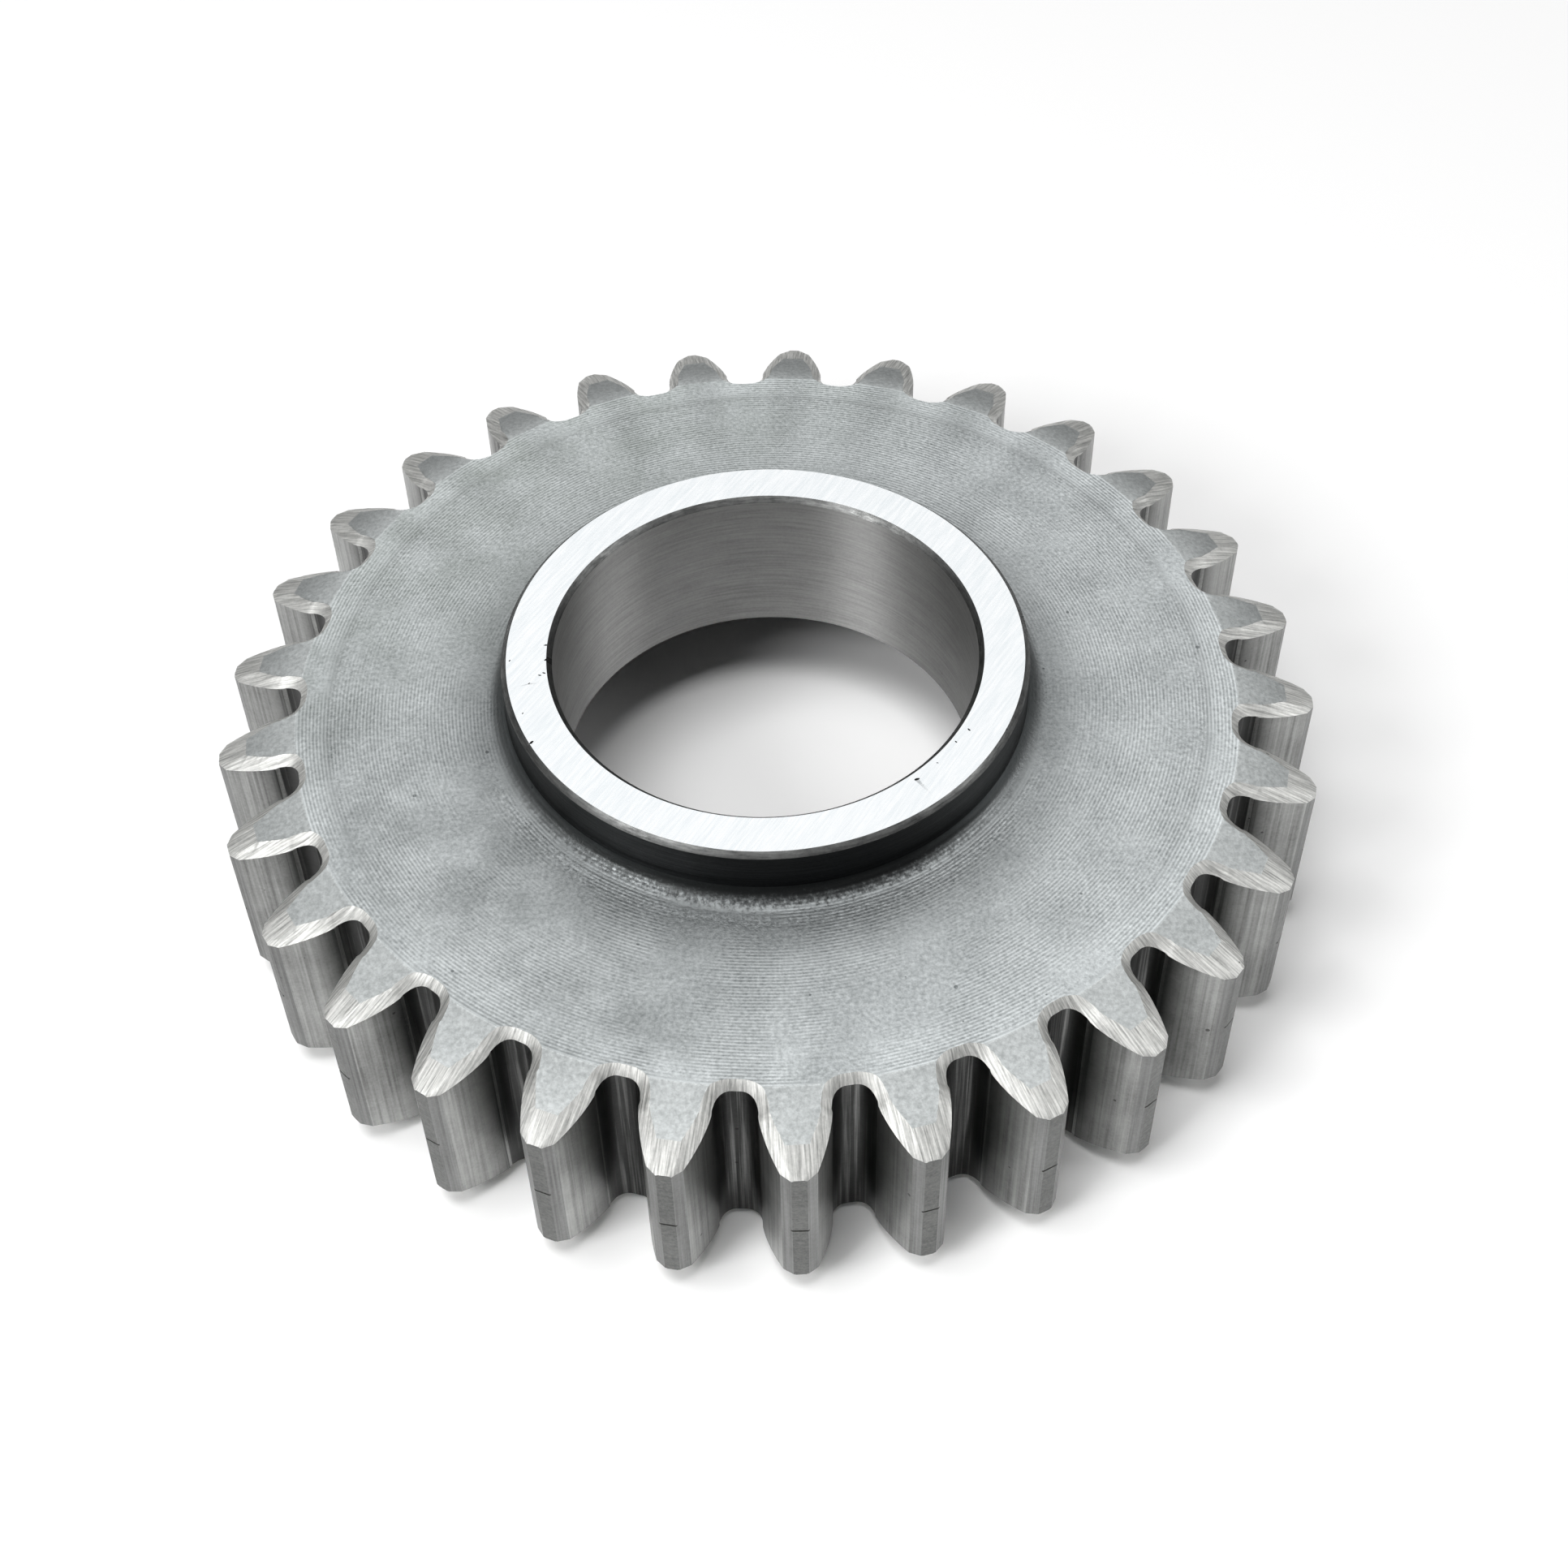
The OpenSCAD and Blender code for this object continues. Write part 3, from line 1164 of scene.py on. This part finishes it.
FINISHES = (
    Finish(Region.WEB, Pattern.FEED, from_srgb(238, 243, 244), from_srgb(130, 135, 136),
           roughness=0.42, line_pitch=0.3 * MM, line_length=9 * MM, line_contrast=0.5,
           line_depth=0.007 * MM, grain_pitch=0.34 * MM, grain_contrast=0.6,
           grain_depth=0.012 * MM, patch_pitch=5 * MM, patch_contrast=0.22,
           # Painted shade towards the hub wall, with grime there, and a painted highlight on a thin
           # ring at the rim's edge near 39.7 mm.
           stain_and_light_bands=in_metres((21.9, 0.3), (22.5, 0.42), (23.2, 0.52), (24.8, 0.66), (26.5, 0.86),
                           (29, 0.98), (34, 1.04), (36.5, 1.0), (37.0, 0.9), (37.6, 1.12),
                           (39.5, 1.22), (39.68, 1.32), (39.75, 1.32)),
           # On the front: deeper painted shade at the hub's foot, a painted highlight ring just
           # outside it, and a painted highlight at the rim's edge.
           front_light_and_stain_bands=in_metres((21.9, 0.05), (22.5, 0.07), (22.9, 0.2), (23.4, 0.75),
                                 (23.9, 1.2), (24.4, 0.95), (25, 0.7), (26.5, 0.68),
                                 (28, 0.76), (29.2, 0.86), (33, 0.95), (36, 0.99),
                                 (36.6, 1.06), (38.5, 1.12), (39.5, 1.06), (39.68, 1.25),
                                 (39.75, 1.25)),
           band_scatter=0.9 * MM,
           # A darker greenish tint towards the rear left, and painted shade towards the front left,
           # where the web's reflection is darker.
           side_tints_and_shade=(SideTintAndShade(from_srgb(160, 170, 156), (-0.6, 0.8, 0), 12 * MM, 40 * MM, 0.2),
                   SideTintAndShade(from_srgb(84, 88, 86), (-0.7, -0.71, 0), 17 * MM, 31 * MM, 0.2))),
    Finish(Region.RING_FACE, Pattern.GROUND, from_srgb(253, 254, 255), from_srgb(236, 242, 245),
           roughness=0.24, line_pitch=0.2 * MM, line_length=3.0 * MM, line_contrast=0.8,
           grain_contrast=0.1, patch_contrast=0.1, speck_strength=0.1,
           line_depth=0.0012 * MM),
    # Near-black colour: painted shade on the hub wall, together with its blackened finish.
    Finish(Region.HUB_WALL, Pattern.TURNED_WALL, from_srgb(38, 39, 40), from_srgb(12, 12, 13),
           roughness=0.42, line_pitch=0.2 * MM, line_length=20 * MM, line_contrast=0.8),
    Finish(Region.EDGE_BREAK, Pattern.TURNED_FACE, from_srgb(132, 133, 132),
           from_srgb(52, 53, 53), roughness=0.42, line_pitch=0.14 * MM, line_length=2.5 * MM,
           line_contrast=0.9, patch_pitch=3 * MM, patch_contrast=0.5),
    Finish(Region.BORE, Pattern.TURNED_WALL, from_srgb(178, 178, 177), from_srgb(136, 136, 135),
           roughness=0.5, roughness_range=0.04, anisotropy=0.92, line_pitch=0.2 * MM,
           line_length=12 * MM, line_contrast=0.5, grain_contrast=0.2,
           line_depth=0.0008 * MM, grain_depth=0.0008 * MM),
    Finish(Region.TOOTH_END, Pattern.TURNED_FACE, from_srgb(216, 220, 220),
           from_srgb(166, 170, 170), roughness=0.45, line_contrast=0.05, line_depth=0.001 * MM,
           grain_pitch=0.36 * MM, grain_contrast=0.8, grain_depth=0.009 * MM,
           # Painted highlight on a thin ring where the tooth ends meet the web.
           stain_and_light_bands=in_metres((39.6, 1.2), (39.75, 1.2), (39.85, 1.0), (46.6, 1.0)),
           band_scatter=0.05 * MM),
    Finish(Region.END_BEVEL, Pattern.ALONG_TOOTH, from_srgb(250, 250, 247),
           from_srgb(134, 135, 133), roughness=0.58, line_pitch=0.15 * MM, line_length=9 * MM,
           line_contrast=0.95, grain_contrast=0.15, patch_contrast=0.15,
           line_depth=0.01 * MM),
    Finish(Region.FLANK, Pattern.UPRIGHT, from_srgb(188, 189, 187), from_srgb(90, 90, 89),
           roughness=0.38, line_pitch=0.3 * MM, line_length=18 * MM, line_contrast=0.6,
           grain_contrast=0.15, patch_contrast=0.3, line_depth=0.003 * MM,
           # Painted shade in the tooth roots, together with oily staining, and lighter towards the
           # tips.
           stain_and_light_bands=in_metres((38.8, 0.5), (39.3, 0.32), (39.9, 0.1), (41.0, 0.16), (41.9, 0.6),
                           (43.0, 0.92), (46, 1.05)),
           band_scatter=1.8 * MM),
    Finish(Region.TIP_LAND, Pattern.TURNED_WALL, from_srgb(128, 129, 127),
           from_srgb(82, 83, 82), roughness=0.45, line_pitch=0.25 * MM,
           line_contrast=0.3, grain_contrast=0.5),
    Finish(Region.UNDERSIDE, Pattern.FEED, from_srgb(220, 225, 226), from_srgb(128, 133, 134),
           roughness=0.42, line_pitch=0.3 * MM, line_length=9 * MM, line_contrast=0.42,
           line_depth=0.006 * MM, grain_contrast=0.5, grain_depth=0.012 * MM),
    Finish(Region.TIP_CHAMFER, Pattern.UPRIGHT, from_srgb(148, 149, 148),
           from_srgb(92, 92, 91), roughness=0.4, line_pitch=0.2 * MM, line_length=16 * MM,
           line_contrast=0.6, grain_contrast=0.2, line_depth=0.003 * MM),
    Finish(Region.SCAR, Pattern.TURNED_FACE, from_srgb(70, 70, 69), from_srgb(30, 30, 30),
           roughness=0.6),
    Finish(Region.SCRIBED, Pattern.TURNED_WALL, from_srgb(112, 112, 110),
           from_srgb(62, 62, 61), roughness=0.5),
    # The undercut keeps a light colour without the flanks' painted root shade, so it shows as a
    # painted light line in the roots.
    Finish(Region.UNDERCUT, Pattern.UPRIGHT, from_srgb(196, 197, 195), from_srgb(70, 70, 69),
           roughness=0.38, line_pitch=0.3 * MM, line_length=9 * MM, line_contrast=0.8),
    # Dark colour: painted shade in the recess under the web.
    Finish(Region.RECESS, Pattern.TURNED_FACE, from_srgb(104, 106, 106), from_srgb(58, 60, 60),
           roughness=0.5, line_pitch=0.3 * MM, line_length=16 * MM, line_contrast=0.6,
           line_depth=0.005 * MM, grain_contrast=0.4),
)


@dataclass
class Nicks:
    """Small dark nicks in the hub face and along the bore's edge.

    A nick is a radius, an angle in degrees from +X and a length. Its breadth and depth are
    shares of its length, and its corners are moved in or out by a factor from the dent range.
    """

    face_height: float
    spots: tuple[tuple[float, float, float], ...] = (
        (21.35 * MM, -151.7, 0.5 * MM),
        (20.92 * MM, -160.5, 0.22 * MM),
        (19.76 * MM, -169.2, 0.2 * MM),
        (18.81 * MM, -171.4, 0.3 * MM),
        (21.22 * MM, -176.9, 0.24 * MM),
        (18.3 * MM, 178.2, 0.36 * MM),
        (18.15 * MM, -176.7, 0.5 * MM),
        (18.45 * MM, -172.0, 0.3 * MM),
        (18.82 * MM, -50.0, 0.5 * MM),
        (18.77 * MM, -42.8, 0.2 * MM),
        (18.64 * MM, -34.5, 0.26 * MM),
        (18.9 * MM, -29.4, 0.34 * MM),
        (21.75 * MM, 129.8, 0.5 * MM),
        (21.8 * MM, -9.7, 0.45 * MM),
    )
    breadth: float = 0.45
    depth: float = 0.3
    dent_range: tuple[float, float] = (0.8, 1.15)
    skin: float = 0.005 * MM
    seed: int = 11

    def places(self) -> list[tuple[Vector, float]]:
        """Return the middle and the length of each nick.

        Returns:
            A pair for each nick.
        """
        return [
            (Vector((radius * math.cos(math.radians(angle)),
                     radius * math.sin(math.radians(angle)), self.face_height)), length)
            for radius, angle, length in self.spots
        ]

    def holds(self, centre: Vector) -> bool:
        """Tell whether a face lies in a nick, below the hub face.

        Args:
            centre: Middle of the face.

        Returns:
            True where it does.
        """
        deep = centre.z < self.face_height - self.skin
        return deep and any((centre - middle).length < length / 2
                            for middle, length in self.places())

    def build(self) -> bpy.types.Object:
        """Model the cutter of each nick.

        Returns:
            One object with all the cutters.
        """
        draw = random.Random(self.seed)
        lumps = []
        for middle, length in self.places():
            Workbench.clear_selection()
            bpy.ops.mesh.primitive_ico_sphere_add(subdivisions=2, radius=0.5)
            lump = bpy.context.object
            bpy.ops.object.mode_set(mode="EDIT")
            bpy.ops.transform.resize(
                value=(length, length * self.breadth, 2 * length * self.depth)
            )
            bpy.ops.object.mode_set(mode="OBJECT")
            for vertex in lump.data.vertices:
                vertex.co *= draw.uniform(*self.dent_range)
            turn = Matrix.Rotation(draw.uniform(0, math.pi), 4, "Z")
            lump.data.transform(Matrix.Translation(middle) @ turn)
            lumps.append(lump)
        return Workbench.join(lumps)


@dataclass
class TipMarks:
    """Shallow scribed mark across each tip land, near the middle of its height."""

    toothing: Toothing
    height: float = 9.3 * MM
    scatter: float = 0.35 * MM
    width: float = 2.0 * MM
    thickness: float = 0.2 * MM
    depth: float = 0.09 * MM
    tilt: float = math.radians(4)
    skin: float = 0.02 * MM
    reach: float = 1.2
    seed: int = 5

    def holds(self, centre: Vector) -> bool:
        """Tell whether a face lies in a mark, below the tip land.

        Args:
            centre: Middle of the face.

        Returns:
            True where it does.
        """
        below = self.toothing.tip_radius - math.hypot(centre.x, centre.y)
        near = abs(centre.z - self.height) < self.scatter + self.thickness
        return near and self.skin < below < self.reach * self.depth

    def build(self) -> bpy.types.Object:
        """Model the cutter of each mark.

        Returns:
            One object with all the cutters.
        """
        draw = random.Random(self.seed)
        marks = []
        for i in range(self.toothing.teeth):
            Workbench.clear_selection()
            bpy.ops.mesh.primitive_cube_add(size=1)
            mark = bpy.context.object
            bpy.ops.object.mode_set(mode="EDIT")
            bpy.ops.transform.resize(value=(2 * self.depth, self.width, self.thickness))
            bpy.ops.mesh.subdivide(number_cuts=1)
            bpy.ops.object.mode_set(mode="OBJECT")
            place = Matrix.Translation((
                self.toothing.tip_radius, 0, self.height + draw.uniform(-1, 1) * self.scatter
            )) @ Matrix.Rotation(draw.uniform(-1, 1) * self.tilt, 4, "X")
            mark.data.transform(Matrix.Rotation(i * self.toothing.pitch, 4, "Z") @ place)
            marks.append(mark)
        return Workbench.join(marks)


@dataclass
class PinionGear:
    """The gear itself, in one piece."""

    toothing: Toothing = field(default_factory=Toothing)
    edge_break: float = 0.07 * MM
    edge_segments: int = 2
    sharp_angle: float = math.radians(24)
    smooth_angle: float = math.radians(40)

    def finish_faces(self, gear: bpy.types.Object, blank: Blank,
                     scars: dict[Region, TipMarks | Nicks]) -> None:
        """Give each face of the gear the finish of its machined surface.

        Args:
            gear: The cut gear.
            blank: The blank, which knows the surfaces.
            scars: The marks and nicks cut into it, by the surface that they make.
        """
        effects = Effects(self.toothing)
        gear.data.materials.clear()
        for finish in sorted(FINISHES, key=lambda finish: finish.region.value):
            gear.data.materials.append(finish.material(effects))
        for face in gear.data.polygons:
            region = blank.region(face.center, face.normal)
            for scarred, scar in scars.items():
                if scar.holds(face.center):
                    region = scarred
            face.material_index = region.value

    def break_edges(self, gear: bpy.types.Object) -> None:
        """Round the sharp edges a little and shade the faces smoothly in between.

        Args:
            gear: The cut gear.
        """
        Workbench.pick_up(gear)
        bevel = gear.modifiers.new("edge_break", "BEVEL")
        bevel.width = self.edge_break
        bevel.segments = self.edge_segments
        bevel.limit_method = "ANGLE"
        bevel.angle_limit = self.sharp_angle
        bevel.use_clamp_overlap = True
        bpy.ops.object.modifier_apply(modifier=bevel.name)
        bpy.ops.object.shade_smooth_by_angle(angle=self.smooth_angle)
        weighted = gear.modifiers.new("flat_faces", "WEIGHTED_NORMAL")
        weighted.keep_sharp = True
        bpy.ops.object.modifier_apply(modifier=weighted.name)

    def build(self) -> bpy.types.Object:
        """Turn the blank, cut the teeth and finish every surface.

        Returns:
            The gear.
        """
        blank = Blank(self.toothing)
        gear = blank.build()
        Workbench.cut(gear, GapCutter(self.toothing, blank.rim_height).build())
        scars = {
            Region.SCRIBED: TipMarks(self.toothing),
            Region.SCAR: Nicks(blank.total_height),
        }
        for scar in scars.values():
            Workbench.cut(gear, scar.build())
        gear.name = "gear_body"
        self.finish_faces(gear, blank, scars)
        self.break_edges(gear)
        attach(gear, BODY)
        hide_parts(CAD_NODE)
        return gear


@dataclass(frozen=True)
class Lamp:
    """One square soft box over the gear, which the metal mirrors or not."""

    name: str
    place: tuple[float, float, float]
    size: float
    power: float
    mirrored: bool = True


@dataclass(frozen=True)
class Viewpoint:
    """Where the photograph was taken from."""

    place: tuple[float, float, float] = (3.75 * MM, -139.18 * MM, 173.51 * MM)
    direction: tuple[float, float, float] = (-0.01135, 0.63934, -0.76884)
    roll: float = math.radians(-1.42)
    focal_length: float = 56.37
    sensor_width: float = 36.0
    nearest: float = 10 * MM

    def build(self) -> bpy.types.Object:
        """Place the camera.

        Returns:
            The camera.
        """
        data = bpy.data.cameras.new("camera")
        data.lens = self.focal_length
        data.sensor_width = self.sensor_width
        data.clip_start = self.nearest
        camera = bpy.data.objects.new("camera", data)
        bpy.context.scene.collection.objects.link(camera)
        forward = Vector(self.direction).normalized()
        level_right = forward.cross(UP).normalized()
        level_up = level_right.cross(forward)
        right = level_right * math.cos(self.roll) + level_up * math.sin(self.roll)
        up = level_up * math.cos(self.roll) - level_right * math.sin(self.roll)
        matrix = Matrix((right, up, -forward)).transposed().to_4x4()
        matrix.translation = Vector(self.place)
        camera.matrix_world = matrix
        bpy.context.scene.camera = camera
        return camera


@dataclass
class Studio:
    """Pale floor, soft lamps and a white surround.

    What the metal mirrors of the surround is set by the ceiling, which gives its brightness by
    the height of a direction, and by the spread, which gives a factor by how far the direction
    goes to either side. The left share makes it brighter at the left than at the right. The
    floor turns plain white between the two white distances from the gear.
    """

    floor_size: float = 6.0
    floor_colour: Colour = (0.8, 0.8, 0.8)
    floor_drop: float = 0.03 * MM
    white_start: float = 0.16
    white_end: float = 0.45
    ambient: float = 0.09
    ceiling: tuple[Point, ...] = (
        (0.0, 0.04), (0.3, 0.1), (0.45, 0.23), (0.6, 1.05), (0.7, 1.1), (0.8, 1.07),
        (0.9, 1.05), (1, 1.4),
    )
    left_share: float = 0.12
    spread: tuple[Point, ...] = (
        (0.0, 1.0), (0.3, 0.97), (0.5, 0.74), (0.7, 0.68), (0.85, 0.9), (1, 1.0),
    )
    lamps: tuple[Lamp, ...] = (
        Lamp("key_lamp", (-0.2, -0.09, 1.0), 0.55, 7.4, mirrored=False),
        Lamp("front_lamp", (-0.47, -0.37, 0.50), 0.26, 2.7),
        Lamp("side_lamp", (0.60, -0.04, 0.42), 0.25, 0.9),
    )

    @staticmethod
    def seen_share(graph: Graph) -> bpy.types.NodeSocket:
        """Tell the rays that show the surround itself, in the picture or in the metal.

        Args:
            graph: The tree that needs to know.

        Returns:
            1 for such a ray, 0 for any other.
        """
        rays = graph.add("ShaderNodeLightPath").outputs
        return graph.math("MAXIMUM", rays["Is Camera Ray"],
                          graph.math("MAXIMUM", rays["Is Glossy Ray"],
                                     rays["Is Transmission Ray"]))

    def build_world(self) -> None:
        """Surround the gear with white, which the metal mirrors brightest from above."""
        world = bpy.data.worlds.new("white_surround")
        bpy.context.scene.world = world
        world.use_nodes = True
        graph = Graph(world.node_tree)
        direction = graph.add("ShaderNodeTexCoord").outputs["Generated"]
        right, _, height = graph.add("ShaderNodeSeparateXYZ", {0: direction}).outputs
        side = graph.math("SUBTRACT", 1.0, graph.math("MULTIPLY", right, self.left_share))
        box = graph.math("MULTIPLY", graph.look_up(height, self.ceiling),
                         graph.look_up(graph.math("ABSOLUTE", right), self.spread))
        mirrored = graph.math("MULTIPLY", box, side)
        glossy = graph.add("ShaderNodeLightPath").outputs["Is Glossy Ray"]
        brightness = graph.add("ShaderNodeMix", {0: glossy, 2: 1.0, 3: mirrored}).outputs[0]
        strength = graph.add("ShaderNodeMix", {
            0: self.seen_share(graph), 2: self.ambient, 3: brightness,
        }).outputs[0]
        background = graph.add("ShaderNodeBackground",
                               {"Color": (1, 1, 1, 1), "Strength": strength})
        graph.add("ShaderNodeOutputWorld", {"Surface": background.outputs[0]})

    def build_floor(self) -> bpy.types.Object:
        """Lay the floor, which keeps the gear's shadow and turns plain white farther out.

        Returns:
            The floor.
        """
        Workbench.clear_selection()
        bpy.ops.mesh.primitive_plane_add(size=self.floor_size)
        floor = bpy.context.object
        floor.name = "floor"
        floor.data.transform(Matrix.Translation(-UP * self.floor_drop))
        material = bpy.data.materials.new("white_floor")
        material.use_nodes = True
        graph = Graph(material.node_tree)
        seen = self.seen_share(graph)
        colour = graph.mix_colour(seen, (*self.floor_colour, 1), (1, 1, 1, 1))
        paper = graph.add("ShaderNodeBsdfDiffuse", {"Color": colour})
        place = graph.add("ShaderNodeTexCoord").outputs["Object"]
        distance = graph.length_from_axis(place)[3]
        far = graph.remap(distance, self.white_start, self.white_end)
        white = graph.add("ShaderNodeEmission", {"Color": (1, 1, 1, 1), "Strength": 1.0})
        surface = graph.add("ShaderNodeMixShader", {
            0: graph.math("MULTIPLY", far, seen), 1: paper.outputs[0], 2: white.outputs[0],
        })
        graph.add("ShaderNodeOutputMaterial", {"Surface": surface.outputs[0]})
        floor.data.materials.append(material)
        return floor

    def build_lamps(self, target: Vector) -> None:
        """Hang the lamps and turn them to the gear.

        Args:
            target: The point that they face.
        """
        for lamp in self.lamps:
            data = bpy.data.lights.new(lamp.name, "AREA")
            data.size = lamp.size
            data.energy = lamp.power
            light = bpy.data.objects.new(lamp.name, data)
            light.location = lamp.place
            aim = target - Vector(lamp.place)
            light.rotation_euler = aim.to_track_quat("-Z", "Y").to_euler()
            light.visible_glossy = lamp.mirrored
            bpy.context.scene.collection.objects.link(light)

    def build(self, target: Vector) -> None:
        """Set up the whole studio round a point.

        Args:
            target: The middle of the gear.
        """
        bpy.context.scene.view_settings.view_transform = "Standard"
        self.build_world()
        self.build_floor()
        self.build_lamps(target)


def main() -> None:
    """Build the gear and its studio, and log the gear's triangle count."""
    logging.basicConfig(level=logging.INFO, format="%(name)s: %(message)s")
    low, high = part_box(CAD_NODE)
    Viewpoint().build()
    Studio().build((low + high) / 2)
    gear = PinionGear().build()
    gear.data.calc_loop_triangles()
    log.info("%s: %d triangles", gear.name, len(gear.data.loop_triangles))


if __name__ == "__main__":
    main()
